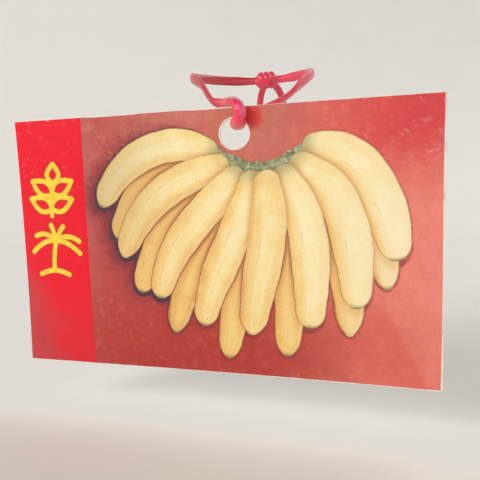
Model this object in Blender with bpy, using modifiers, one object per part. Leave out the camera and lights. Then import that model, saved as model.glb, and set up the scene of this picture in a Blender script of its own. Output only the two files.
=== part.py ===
"""Hanging plant label: a laminated card with a punched hole, on a soft plastic tie knotted round a stem.

Metres, +Z up. The card hangs upright in the XZ plane and its printed face looks along -Y.
The origin lies on the axis of the plant stem that the tie goes round, level with the tie's knot.
"""

import math

import bmesh
import bpy
from mathutils import Vector

MM = 0.001

# Card: a white plastic sheet between two thin glazed skins.
CARD_WIDTH = 90.0 * MM
CARD_HEIGHT = 54.4 * MM
CORE_THICKNESS = 0.6 * MM
SKIN_THICKNESS = 0.1 * MM
CORNER_RADIUS = 0.35 * MM
CORE_EDGE_BEVEL = 0.06 * MM
SKIN_MARGINS = {"left": 0.12 * MM, "right": 0.38 * MM, "top": 0.28 * MM, "bottom": 0.2 * MM}
CORNER_STEPS = 4

# Punched hole: its centre's distance below the top edge and right of the card's middle.
HOLE_DIAMETER = 6.0 * MM
HOLE_BELOW_TOP = 5.2 * MM
HOLE_RIGHT_OF_MIDDLE = 6.1 * MM
HOLE_SKIN_MARGIN = 0.27 * MM
HOLE_STEPS = 48

# Tie and the stem that it is made to go round.
TIE_DIAMETER = 2.3 * MM
STEM_BEHIND_CARD = 17.5 * MM
STEM_LEFT_OF_HOLE = 1.0 * MM
KNOT_ABOVE_HOLE = 15.4 * MM
KNOT_BEHIND_STEM_AXIS = 14.1 * MM
POINTS_PER_SPAN = 2
TUBE_BEVEL_RESOLUTION = 2

# Knot: three turns of the tie drawn tight, as a turned barrel along X.
KNOT_LENGTH = 4.4 * MM
KNOT_RADIUS = 2.3 * MM
KNOT_GROOVE = 0.35 * MM
KNOT_END_RADIUS = 1.3 * MM
KNOT_TURNS = 3
KNOT_PROFILE_STEPS = 24
KNOT_STEPS = 24

# The middle of the punched hole and of the knot, from the origin on the stem's axis.
HOLE_CENTRE = Vector((STEM_LEFT_OF_HOLE, -STEM_BEHIND_CARD, -KNOT_ABOVE_HOLE))
KNOT_CENTRE = Vector((0.0, KNOT_BEHIND_STEM_AXIS, 0.0))
BRIDGE_HEIGHT = HOLE_BELOW_TOP - HOLE_DIAMETER / 2
SWING_AXIS_ABOVE_HOLE = HOLE_DIAMETER / 2 + BRIDGE_HEIGHT / 2

# The tie's route in millimetres from the hole's centre: from the knot round the left of the stem, down behind
# the card, over its top edge, through the hole to the back, and up round the right of the stem to the knot.
TIE_ROUTE = [
    (-3.6, 31.6, 15.4), (-5.4, 31.4, 15.4), (-8.8, 29.5, 15.4), (-12.2, 25.9, 15.3), (-14.2, 21.2, 15.0),
    (-14.4, 16.0, 14.4), (-12.8, 11.4, 13.4), (-10.4, 8.1, 12.0), (-8.4, 6.1, 10.4), (-6.9, 4.8, 8.7),
    (-5.5, 3.8, 7.2), (-4.1, 3.1, 6.4), (-2.6, 2.4, 6.1), (-1.2, 1.4, 6.2), (-0.1, 0.1, 6.5),
    (0.8, -1.25, 6.2), (1.3, -2.15, 5.3), (1.4, -2.5, 4.1), (1.05, -2.2, 2.85), (0.5, -1.25, 1.95),
    (0.2, 0.0, 1.6), (0.1, 1.25, 1.9), (0.5, 2.2, 2.8), (1.5, 2.95, 3.7), (3.2, 3.5, 4.4),
    (5.3, 4.0, 5.2), (7.6, 5.1, 6.4), (9.6, 7.5, 8.3), (11.2, 11.2, 10.6), (12.2, 16.0, 12.7),
    (12.0, 21.2, 14.2), (10.2, 25.9, 15.1), (6.8, 29.5, 15.4), (3.4, 31.4, 15.4), (1.6, 31.6, 15.4),
]
LONG_TAIL_ROUTE = [
    (-2.3, 34.5, 14.6), (-3.4, 35.9, 13.2), (-4.1, 36.7, 11.0), (-4.3, 37.0, 8.4), (-4.0, 36.9, 5.6),
]
SHORT_TAIL_ROUTE = [
    (0.3, 34.5, 14.6), (1.3, 35.8, 13.1), (1.9, 36.5, 11.1), (2.2, 36.6, 8.9),
]


def clear_scene():
    """Remove every object that the scene starts with."""
    for obj in list(bpy.data.objects):
        bpy.data.objects.remove(obj, do_unlink=True)


def make_collection(name):
    """Add a collection for the part to the scene."""
    collection = bpy.data.collections.new(name)
    bpy.context.scene.collection.children.link(collection)
    return collection


def make_material(name, colour, roughness):
    """Return a Principled material of one colour."""
    material = bpy.data.materials.new(name)
    material.use_nodes = True
    shader = material.node_tree.nodes["Principled BSDF"]
    shader.inputs["Base Color"].default_value = (*colour, 1.0)
    shader.inputs["Roughness"].default_value = roughness
    shader.inputs["Metallic"].default_value = 0.0
    return material


def rounded_outline(left, right, bottom, top, radius):
    """Corner points of an upright rectangle with rounded corners, anticlockwise."""
    corners = [
        (right - radius, top - radius, 0.0),
        (left + radius, top - radius, math.pi / 2),
        (left + radius, bottom + radius, math.pi),
        (right - radius, bottom + radius, 3 * math.pi / 2),
    ]
    points = []
    for centre_x, centre_z, start in corners:
        for step in range(CORNER_STEPS + 1):
            angle = start + step * math.pi / 2 / CORNER_STEPS
            points.append((centre_x + radius * math.cos(angle), centre_z + radius * math.sin(angle)))
    return points


def circle_outline(centre_x, centre_z, radius):
    """Points of a circle, anticlockwise."""
    angles = [2 * math.pi * step / HOLE_STEPS for step in range(HOLE_STEPS)]
    return [(centre_x + radius * math.cos(a), centre_z + radius * math.sin(a)) for a in angles]


def add_closed_spline(curve, points):
    """Add one closed straight-sided spline to a flat curve."""
    spline = curve.splines.new("POLY")
    spline.points.add(len(points) - 1)
    for point, (x, y) in zip(spline.points, points):
        point.co = (x, y, 0.0, 1.0)
    spline.use_cyclic_u = True


def make_sheet(name, outline, hole, front, back, material, collection):
    """A flat sheet with one hole, from depth front to depth back along Y, about the card's own axes."""
    curve = bpy.data.curves.new(name + "_outline", "CURVE")
    curve.dimensions = "2D"
    curve.fill_mode = "BOTH"
    curve.extrude = (back - front) / 2
    add_closed_spline(curve, outline)
    add_closed_spline(curve, hole)
    flat = bpy.data.objects.new(name + "_outline", curve)
    collection.objects.link(flat)
    graph = bpy.context.evaluated_depsgraph_get()
    mesh = bpy.data.meshes.new_from_object(flat.evaluated_get(graph))
    bpy.data.objects.remove(flat, do_unlink=True)

    mesh.name = name
    middle = (front + back) / 2
    work = bmesh.new()
    work.from_mesh(mesh)
    bmesh.ops.remove_doubles(work, verts=work.verts, dist=0.001 * MM)
    for vertex in work.verts:
        x, z, depth = vertex.co
        vertex.co = (x, middle - depth, z)
    bmesh.ops.recalc_face_normals(work, faces=work.faces)
    work.to_mesh(mesh)
    work.free()

    sheet = bpy.data.objects.new(name, mesh)
    sheet.data.materials.append(material)
    collection.objects.link(sheet)
    return sheet


def add_edge_bevel(obj, width):
    """Break the sharp edges of a sheet."""
    bevel = obj.modifiers.new("edge_bevel", "BEVEL")
    bevel.width = width
    bevel.segments = 1
    bevel.limit_method = "ANGLE"
    bevel.angle_limit = math.radians(60)


def smooth_route(route):
    """Points of a smooth curve through a route of millimetre points about the hole's centre, in metres."""
    knots = [HOLE_CENTRE + Vector(point) * MM for point in route]
    first = 2 * knots[0] - knots[1]
    last = 2 * knots[-1] - knots[-2]
    padded = [first, *knots, last]
    points = []
    for i in range(1, len(padded) - 2):
        before, start, end, after = padded[i - 1 : i + 3]
        for step in range(POINTS_PER_SPAN):
            t = step / POINTS_PER_SPAN
            points.append(
                0.5
                * (
                    2 * start
                    + (end - before) * t
                    + (2 * before - 5 * start + 4 * end - after) * t * t
                    + (3 * start - before - 3 * end + after) * t * t * t
                )
            )
    points.append(knots[-1])
    return points


def make_tube(name, route, diameter, material, collection):
    """A round strand along a smooth route, closed at both ends."""
    points = smooth_route(route)
    curve = bpy.data.curves.new(name, "CURVE")
    curve.dimensions = "3D"
    curve.bevel_depth = diameter / 2
    curve.bevel_resolution = TUBE_BEVEL_RESOLUTION
    curve.use_fill_caps = True
    spline = curve.splines.new("POLY")
    spline.points.add(len(points) - 1)
    for point, place in zip(spline.points, points):
        point.co = (*place, 1.0)
    spline.use_smooth = True
    tube = bpy.data.objects.new(name, curve)
    tube.data.materials.append(material)
    collection.objects.link(tube)
    return tube


def make_knot(name, material, collection):
    """A barrel of tight turns along X, as a profile turned about its own axis."""
    mesh = bpy.data.meshes.new(name)
    work = bmesh.new()
    profile = []
    half = KNOT_LENGTH / 2
    # The profile runs along the barrel in the local XZ plane, from the upper end down to the lower.
    profile.append((0.0, half))
    for step in range(KNOT_PROFILE_STEPS + 1):
        share = step / KNOT_PROFILE_STEPS
        along = half - KNOT_LENGTH * share
        swell = math.sin(math.pi * share) ** 0.5
        ripple = KNOT_GROOVE * 0.5 * (1 - math.cos(2 * math.pi * KNOT_TURNS * share))
        radius = KNOT_END_RADIUS + (KNOT_RADIUS - KNOT_GROOVE - KNOT_END_RADIUS) * swell + ripple * swell
        profile.append((radius, along))
    profile.append((0.0, -half))
    verts = [work.verts.new((radius, 0.0, along)) for radius, along in profile]
    for first, second in zip(verts, verts[1:]):
        work.edges.new((first, second))
    work.to_mesh(mesh)
    work.free()
    knot = bpy.data.objects.new(name, mesh)
    knot.data.materials.append(material)
    knot.location = KNOT_CENTRE
    knot.rotation_euler = (0.0, math.pi / 2, 0.0)
    collection.objects.link(knot)

    screw = knot.modifiers.new("turn", "SCREW")
    screw.axis = "Z"
    screw.angle = 2 * math.pi
    screw.steps = KNOT_STEPS
    screw.render_steps = KNOT_STEPS
    screw.use_merge_vertices = True
    screw.merge_threshold = 0.001 * MM
    screw.use_smooth_shade = True
    return knot


def build_card(collection, swing_axis):
    """The white core and its two glazed skins, which swing together."""
    white = make_material("white_card", (0.86, 0.84, 0.80), 0.55)
    red = make_material("printed_red", (0.68, 0.09, 0.09), 0.3)
    plain = make_material("plain_back", (0.82, 0.80, 0.76), 0.35)

    # Sizes about the swing axis, which runs along X through the bridge above the hole.
    top = BRIDGE_HEIGHT / 2
    bottom = top - CARD_HEIGHT
    left = -CARD_WIDTH / 2 - HOLE_RIGHT_OF_MIDDLE
    right = left + CARD_WIDTH
    core_back = CORE_THICKNESS / 2
    skin_back = core_back + SKIN_THICKNESS

    core_outline = rounded_outline(left, right, bottom, top, CORNER_RADIUS)
    core_hole = circle_outline(0.0, -SWING_AXIS_ABOVE_HOLE, HOLE_DIAMETER / 2)
    skin_outline = rounded_outline(
        left + SKIN_MARGINS["left"],
        right - SKIN_MARGINS["right"],
        bottom + SKIN_MARGINS["bottom"],
        top - SKIN_MARGINS["top"],
        CORNER_RADIUS,
    )
    skin_hole = circle_outline(0.0, -SWING_AXIS_ABOVE_HOLE, HOLE_DIAMETER / 2 + HOLE_SKIN_MARGIN)

    core = make_sheet("card_core", core_outline, core_hole, -core_back, core_back, white, collection)
    add_edge_bevel(core, CORE_EDGE_BEVEL)
    front = make_sheet("front_skin", skin_outline, skin_hole, -skin_back, -core_back, red, collection)
    back = make_sheet("back_skin", skin_outline, skin_hole, core_back, skin_back, plain, collection)
    for sheet in (core, front, back):
        sheet.parent = swing_axis


def build_tie(collection):
    """The tie's loop, its knot and its two loose ends."""
    pink = make_material("tie_plastic", (0.80, 0.07, 0.12), 0.3)
    make_tube("tie_loop", TIE_ROUTE, TIE_DIAMETER, pink, collection)
    make_tube("tie_tail_long", LONG_TAIL_ROUTE, TIE_DIAMETER, pink, collection)
    make_tube("tie_tail_short", SHORT_TAIL_ROUTE, TIE_DIAMETER, pink, collection)
    make_knot("tie_knot", pink, collection)


def main():
    """Build the label and its tie."""
    clear_scene()
    collection = make_collection("hanging_plant_label")
    swing_axis = bpy.data.objects.new("label_swing_axis", None)
    swing_axis.empty_display_size = HOLE_DIAMETER
    swing_axis.location = HOLE_CENTRE + Vector((0.0, 0.0, SWING_AXIS_ABOVE_HOLE))
    collection.objects.link(swing_axis)
    build_card(collection, swing_axis)
    build_tie(collection)


main()
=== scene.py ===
"""A hanging plant label on a soft plastic tie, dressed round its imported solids.

Shapes are worked out in millimetres in the shared frame, whose origin is on the plant's stem, with X along
the card, Y to the back and Z up. They become metres when a mesh is made. On the card itself, places are
given as (x, z) from the card's middle, and depth is negative towards the viewer.
"""

from __future__ import annotations

import logging
import math
from collections.abc import Mapping, Sequence
from dataclasses import dataclass, field
from enum import Enum
from typing import Any

import bpy
import numpy as np
from mathutils import Matrix, Vector


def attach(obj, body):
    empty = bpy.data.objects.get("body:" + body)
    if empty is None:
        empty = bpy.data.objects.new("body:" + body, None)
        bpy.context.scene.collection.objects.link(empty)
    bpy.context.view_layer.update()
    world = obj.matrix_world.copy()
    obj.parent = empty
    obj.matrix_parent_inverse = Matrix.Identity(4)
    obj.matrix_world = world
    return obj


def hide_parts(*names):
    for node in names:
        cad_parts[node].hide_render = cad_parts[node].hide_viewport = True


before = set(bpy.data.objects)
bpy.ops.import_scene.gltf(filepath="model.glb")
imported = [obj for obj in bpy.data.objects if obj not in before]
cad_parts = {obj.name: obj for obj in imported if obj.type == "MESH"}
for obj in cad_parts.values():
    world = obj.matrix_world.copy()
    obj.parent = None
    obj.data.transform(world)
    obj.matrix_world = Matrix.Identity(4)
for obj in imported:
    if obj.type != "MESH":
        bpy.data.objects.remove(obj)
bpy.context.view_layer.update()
MM = 0.001
TURN = 2 * math.pi
LOG = logging.getLogger("label")

Array = np.ndarray
Colour = tuple[float, float, float]
Place = tuple[float, float, float]
Pair = tuple[float, float]


def linear(red: float, green: float, blue: float) -> Colour:
    """The linear colour of a display colour given as three numbers up to 255."""
    share = np.array([red, green, blue]) / 255
    value = np.where(share <= 0.04045, share / 12.92, ((share + 0.055) / 1.055) ** 2.4)
    return tuple(float(part) for part in value)


def smooth(low: float, high: float, value: Array | float) -> Array:
    """0 below low, 1 above high, and 3t^2 - 2t^3 between them."""
    t = np.clip((np.asarray(value, float) - low) / (high - low), 0, 1)
    return t * t * (3 - 2 * t)


def ripple(turn: Array, seed: int, waves: Sequence[int], falls: float = 0.2) -> Array:
    """A closed wavy line: seeded sines of whole numbers of waves a turn, each weaker by waves ** falls.

    Args:
        turn: Where along the closed line, as an angle.
        seed: Which of the possible lines.
        waves: How many waves each sine has in one turn.
        falls: How fast short waves weaken.

    Returns:
        A value of about -1 to 1 for each angle.
    """
    random = np.random.default_rng(seed)
    phase = random.uniform(0, TURN, len(waves))
    count = np.array(waves, float)
    size = random.uniform(0.6, 1.0, len(waves)) / count**falls
    return (np.sin(np.outer(turn, count) + phase) * size).sum(1) / size.sum()


# ---------------------------------------------------------------------------------------------- meshes


@dataclass
class Surface:
    """Points in millimetres, faces of three or four corners, and named values for each point."""

    points: Array
    faces: Array
    values: dict[str, Array] = field(default_factory=dict)

    @classmethod
    def grid(cls, rows: Array, ended: bool = False) -> Surface:
        """Joins closed rows of points into a tube or a ring.

        Args:
            rows: Points of shape (rows, columns, 3).
            ended: Whether the last row meets the first.

        Returns:
            The surface, with one point for each point of the rows.
        """
        high, wide = rows.shape[:2]
        row = np.arange(high if ended else high - 1)[:, None]
        column = np.arange(wide)[None, :]
        below, beside = (row + 1) % high, (column + 1) % wide
        corners = (row * wide + column, row * wide + beside, below * wide + beside, below * wide + column)
        faces = np.stack(np.broadcast_arrays(*corners), -1).reshape(-1, 4)
        return cls(rows.reshape(-1, 3), faces)

    @classmethod
    def tube(cls, rings: Array) -> Surface:
        """Joins closed rings of points and shuts both ends with a fan to the middle of the end ring.

        A fan's triangle is a face of four corners that names one point twice.

        Args:
            rings: Points of shape (rings, columns, 3).

        Returns:
            The surface, whose last two points are the fans' middles.
        """
        wall = cls.grid(rings)
        high, wide = rings.shape[:2]
        around = np.arange(wide)
        beside = (around + 1) % wide
        first, last = high * wide, high * wide + 1
        start = np.stack([beside, around, np.full(wide, first), np.full(wide, first)], -1)
        stop = np.stack([around, beside, np.full(wide, last), np.full(wide, last)], -1)
        stop[:, :2] += (high - 1) * wide
        points = np.vstack([wall.points, rings[0].mean(0), rings[-1].mean(0)])
        return cls(points, np.vstack([wall.faces, start, stop]))

    def with_rows(self, **values: Array) -> Surface:
        """Adds values given as (rows, columns); a tube's two end points take the end rows' means."""
        for name, rows in values.items():
            spare = len(self.points) - rows.size
            ends = [rows[0].mean(), rows[-1].mean()][:spare]
            self.values[name] = np.concatenate([rows.reshape(-1), ends])
        return self

    def volume(self) -> float:
        """The signed volume, by the sum of the tetrahedra from the first point."""
        a, b, c, d = (self.points[self.faces[:, k]] - self.points[0] for k in range(4))
        return float((np.cross(a, b) * c).sum() + (np.cross(a, c) * d).sum()) / 6

    @classmethod
    def joined(cls, parts: Sequence[Surface]) -> Surface:
        """Several surfaces as one, with the values that all of them have."""
        starts = np.cumsum([0] + [len(part.points) for part in parts[:-1]])
        faces = np.vstack([part.faces + start for part, start in zip(parts, starts)])
        names = set.intersection(*(set(part.values) for part in parts))
        values = {name: np.concatenate([part.values[name] for part in parts]) for name in sorted(names)}
        return cls(np.vstack([part.points for part in parts]), faces, values)

    def build(
        self, name: str, body: str, slot: str, material: bpy.types.Material, sharp: float = 40
    ) -> bpy.types.Object:
        """Makes the object, with its faces outwards, and lets it ride on its body.

        Args:
            name: The piece's name.
            body: The CAD body that it moves with.
            slot: The record's material slot, not used.
            material: Its material.
            sharp: The angle in degrees past which an edge stays sharp.

        Returns:
            The new object, at the origin.
        """
        faces = self.faces if self.volume() >= 0 else self.faces[:, ::-1]
        tail, head = faces[:, 2] == faces[:, 3], faces[:, 0] == faces[:, 1]
        corners = [tuple(face) for face in faces[~(tail | head)]]
        corners += [tuple(face) for face in np.vstack([faces[tail][:, :3], faces[head][:, 1:]])]
        mesh = bpy.data.meshes.new(name)
        mesh.from_pydata(self.points * MM, [], corners)
        for key, value in self.values.items():
            mesh.attributes.new(key, "FLOAT", "POINT").data.foreach_set("value", value.astype(np.float32))
        mesh.polygons.foreach_set("use_smooth", np.ones(len(mesh.polygons), bool))
        mesh.set_sharp_from_angle(angle=math.radians(sharp))
        mesh.materials.append(material)
        piece = bpy.data.objects.new(name, mesh)
        bpy.context.scene.collection.objects.link(piece)
        if body:
            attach(piece, body)
            LOG.info("%s: %d faces, on %s", name, len(corners), body)
        return piece


def curve_through(route: Array, per_span: int) -> Array:
    """A Catmull-Rom curve: between two points of the route a cubic whose slopes follow their neighbours."""
    padded = np.vstack([2 * route[0] - route[1], route, 2 * route[-1] - route[-2]])
    a, b, c, d = padded[:-3], padded[1:-2], padded[2:-1], padded[3:]
    t = (np.arange(per_span) / per_span)[None, :, None]
    a, b, c, d = (p[:, None, :] for p in (a, b, c, d))
    spans = 0.5 * (2 * b + (c - a) * t + (2 * a - 5 * b + 4 * c - d) * t**2 + (3 * b - a - 3 * c + d) * t**3)
    return np.vstack([spans.reshape(-1, route.shape[1]), route[-1]])


def evenly(line: Array, step: float) -> Array:
    """The line again, with points about step apart."""
    along = run_length(line)
    at = np.linspace(0, along[-1], int(math.ceil(along[-1] / step)) + 1)
    return np.stack([np.interp(at, along, part) for part in line.T], -1)


def run_length(line: Array) -> Array:
    """How far along the line each of its points is."""
    return np.concatenate([[0], np.cumsum(np.linalg.norm(np.diff(line, axis=0), axis=1))])


def unit(vectors: Array) -> Array:
    """The vectors at length one."""
    return vectors / np.maximum(np.linalg.norm(vectors, axis=-1, keepdims=True), 1e-12)


def carried(line: Array, side: Array, shape: Array) -> Array:
    """A section carried along a line.

    Each ring is the line's point, plus the section's first number times the side direction squared off from
    the line, plus its second number times the direction square to both.

    Args:
        line: Points of shape (rings, 3).
        side: A rough side direction for each ring, of shape (rings, 3).
        shape: Each ring's section, of shape (rings, columns, 2).

    Returns:
        Points of shape (rings, columns, 3).
    """
    ahead = unit(np.gradient(line, axis=0))
    side = unit(side - (side * ahead).sum(1, keepdims=True) * ahead)
    over = np.cross(ahead, side)
    return line[:, None] + shape[..., :1] * side[:, None] + shape[..., 1:] * over[:, None]


# ------------------------------------------------------------------------------------------- materials

# The clear coat and the gloss that the printed inks share.
PRINT = {"Coat_Weight": 0.2, "Coat_Roughness": 0.12, "Specular_IOR_Level": 0.4}


class Socket:
    """One output of a shader tree. Arithmetic on it adds Math nodes."""

    def __init__(self, shader: Shader, output: bpy.types.NodeSocket) -> None:
        """Keeps the tree and its output."""
        self.shader = shader
        self.output = output

    def __add__(self, other: Any) -> Socket:
        """The sum."""
        return self.shader.maths("ADD", self, other)

    def __sub__(self, other: Any) -> Socket:
        """The difference."""
        return self.shader.maths("SUBTRACT", self, other)

    def __rsub__(self, other: Any) -> Socket:
        """A number less this value."""
        return self.shader.maths("SUBTRACT", other, self)

    def __mul__(self, other: Any) -> Socket:
        """The product."""
        return self.shader.maths("MULTIPLY", self, other)

    __radd__ = __add__
    __rmul__ = __mul__

    def __abs__(self) -> Socket:
        """The value without its sign."""
        return self.shader.maths("ABSOLUTE", self)

    def most(self, other: Any) -> Socket:
        """The larger of the two."""
        return self.shader.maths("MAXIMUM", self, other)

    def step(self, low: float, high: float) -> Socket:
        """0 at low and 1 at high, smooth between them; low may be the larger."""
        flip = low > high
        inputs = {"Value": self, 1: min(low, high), 2: max(low, high)}
        inputs |= {3: 1.0 if flip else 0.0, 4: 0.0 if flip else 1.0}
        return self.shader.node("ShaderNodeMapRange", {"interpolation_type": "SMOOTHSTEP"}, inputs)


class Shader:
    """A material's node tree in the making, with its Principled shader."""

    def __init__(self, name: str, **constants: Any) -> None:
        """Starts a material.

        Args:
            name: The material's name.
            constants: Values for the shader's own sockets, with _ for a space.
        """
        self.material = bpy.data.materials.new(name)
        self.material.use_nodes = True
        self.tree = self.material.node_tree
        self.tree.nodes.clear()
        self.surface = self.tree.nodes.new("ShaderNodeBsdfPrincipled")
        out = self.tree.nodes.new("ShaderNodeOutputMaterial")
        self.tree.links.new(self.surface.outputs[0], out.inputs["Surface"])
        for key, value in constants.items():
            self.surface.inputs[key.replace("_", " ")].default_value = value

    def node(
        self, kind: str, settings: Mapping[str, Any], inputs: Mapping[Any, Any], output: Any = 0
    ) -> Socket:
        """Adds a node.

        Args:
            kind: The node's type.
            settings: Its own settings, set first; "stops" is a colour ramp's list of (place, colour).
            inputs: Values or Sockets, by an input's name or number.
            output: Which output to give back.

        Returns:
            That output.
        """
        made = self.tree.nodes.new(kind)
        for key, value in settings.items():
            if key == "stops":
                self.set_stops(made.color_ramp, value)
            else:
                setattr(made, key, value)
        for key, value in inputs.items():
            if isinstance(value, Socket):
                self.tree.links.new(value.output, made.inputs[key])
            elif isinstance(value, tuple) and len(value) == 3 and made.inputs[key].type == "RGBA":
                made.inputs[key].default_value = (*value, 1)
            else:
                made.inputs[key].default_value = value
        return Socket(self, made.outputs[output])

    @staticmethod
    def set_stops(ramp: bpy.types.ColorRamp, stops: Sequence[tuple[float, Colour]]) -> None:
        """Gives a colour ramp its stops."""
        while len(ramp.elements) < len(stops):
            ramp.elements.new(0.5)
        for element, (place, colour) in zip(ramp.elements, stops):
            element.position = place
            element.color = (*colour, 1)

    def maths(self, operation: str, *values: Any) -> Socket:
        """A Math node on the values, in their order."""
        return self.node("ShaderNodeMath", {"operation": operation}, dict(enumerate(values)))

    def place(self, middle: Place = (0.0, 0.0, 0.0)) -> Socket:
        """The object's own coordinates as a vector in millimetres from the middle."""
        here = self.node("ShaderNodeTexCoord", {}, {}, "Object")
        sizes = {0: here, 1: (1 / MM,) * 3, 2: tuple(-part for part in middle)}
        return self.node("ShaderNodeVectorMath", {"operation": "MULTIPLY_ADD"}, sizes)

    def card_place(self) -> tuple[Socket, Socket, Socket]:
        """The place on the card as a vector from the card's middle, and its x and z."""
        place = self.place(CardPlan.origin)
        across, up = (self.node("ShaderNodeSeparateXYZ", {}, {0: place}, part) for part in "XZ")
        return place, across, up

    def value(self, name: str) -> Socket:
        """A value that the mesh holds at each point."""
        return self.node("ShaderNodeAttribute", {"attribute_name": name}, {}, "Fac")

    def noise(self, place: Socket, scale: float | Place, detail: float, seed: float = 0) -> Socket:
        """Smooth noise.

        Args:
            place: Where it is read, in millimetres.
            scale: Its waves a millimetre, the same or different along each axis.
            detail: How many finer octaves it has.
            seed: How far the pattern is moved.

        Returns:
            A value of about 0 to 1.
        """
        each = scale if isinstance(scale, tuple) else (scale,) * 3
        sizes = {0: place, 1: each, 2: (seed, 1.7 * seed, -seed)}
        moved = self.node("ShaderNodeVectorMath", {"operation": "MULTIPLY_ADD"}, sizes)
        return self.node("ShaderNodeTexNoise", {}, {"Vector": moved, "Scale": 1.0, "Detail": detail}, "Fac")

    def ramp(self, factor: Any, stops: Sequence[tuple[float, Colour]]) -> Socket:
        """A colour ramp."""
        return self.node("ShaderNodeValToRGB", {"stops": stops}, {"Fac": factor}, "Color")

    def mix(self, factor: Any, one: Any, other: Any) -> Socket:
        """One colour mixed with another by the factor."""
        settings = {"data_type": "RGBA", "clamp_factor": True}
        return self.node("ShaderNodeMix", settings, {0: factor, 6: one, 7: other}, 2)

    def layered(self, colour: Any, *layers: tuple[Any, Any]) -> Any:
        """The colour with others laid over it in turn, each given as its mask and itself."""
        for mask, tint in layers:
            colour = self.mix(mask, colour, tint)
        return colour

    def tinted(self, colour: Any, amount: Socket) -> Socket:
        """The colour times a grey amount."""
        grey = self.node("ShaderNodeCombineXYZ", {}, {0: amount, 1: amount, 2: amount})
        return self.node("ShaderNodeVectorMath", {"operation": "MULTIPLY"}, {0: colour, 1: grey})

    def bump(self, height: Socket, distance: float) -> Socket:
        """A normal from a height of 0 to 1 that stands for distance millimetres."""
        return self.node("ShaderNodeBump", {}, {"Height": height, "Distance": distance * MM, "Strength": 1.0})

    def finish(self, **links: Socket) -> bpy.types.Material:
        """Links the shader's sockets, with _ for a space in their names, and gives the material."""
        for key, value in links.items():
            self.tree.links.new(value.output, self.surface.inputs[key.replace("_", " ")])
        return self.material


def spot(across: Socket, up: Socket, middle: Pair, weights: Pair, fade: Pair) -> Socket:
    """A soft oval patch: both distances from its middle squared, weighted, added, and stepped by the fade."""
    aside, above = across - middle[0], up - middle[1]
    return (aside * aside * weights[0] + above * above * weights[1]).step(*fade)


@dataclass(frozen=True)
class Glaze:
    """The clear film over the print: soft waves, a fine tooth, handling marks and scuffs."""

    roughness: float = 0.3
    relief: float = 0.5
    scuff: Colour = linear(244, 176, 170)
    scuff_share: float = 0.5

    def over(self, shader: Shader, colour: Any, scuffed: float = 1.0) -> bpy.types.Material:
        """Lays the film over a printed colour.

        Args:
            shader: The print's shader.
            colour: The print's colour.
            scuffed: How much of the scuffs it shows.

        Returns:
            The finished material.
        """
        place, across, up = shader.card_place()
        corners = up.step(0, 20) * across.step(-4, -24).most(across.step(12, 28))
        patch = shader.noise(place, 0.2, 1, 4).step(0.45, 0.62)
        rubs = self.rubs(shader, place, 28, 7).most(self.rubs(shader, place, -36, 30))
        smear = shader.noise(place, (0.35, 0.5, 0.9), 3, 9).step(0.56, 0.8)
        specks = shader.noise(place, 1.5, 1, 21).step(0.72, 0.78)
        marks = (rubs * patch).most(smear * 0.45).most(specks * 0.7) * (corners * 0.85 + 0.15)
        worn = shader.mix(marks * (self.scuff_share * scuffed), colour, self.scuff)
        soft = shader.noise(place, 0.06, 1, 2)
        tooth = shader.noise(place, 1.9, 3, 5)
        rough = tooth * 0.08 + soft * 0.10 + marks * 0.18 + (self.roughness - 0.09)
        height = soft + tooth * 0.012 + marks * 0.01
        return shader.finish(Base_Color=worn, Roughness=rough, Normal=shader.bump(height, self.relief))

    @staticmethod
    def rubs(shader: Shader, place: Socket, turn_deg: float, seed: float) -> Socket:
        """Short dashes: the crests of noise that is drawn out along a line.

        Args:
            shader: The print's shader.
            place: Where the noise is read.
            turn_deg: How far the line is turned on the card, in degrees.
            seed: How far the pattern is moved.

        Returns:
            0 off the dashes and up to 1 on them.
        """
        inputs = {"Vector": place, "Angle": math.radians(turn_deg)}
        turned = shader.node("ShaderNodeVectorRotate", {"rotation_type": "Y_AXIS"}, inputs)
        return shader.noise(turned, (0.5, 1.0, 1.5), 2, seed).step(0.63, 0.82)


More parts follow.
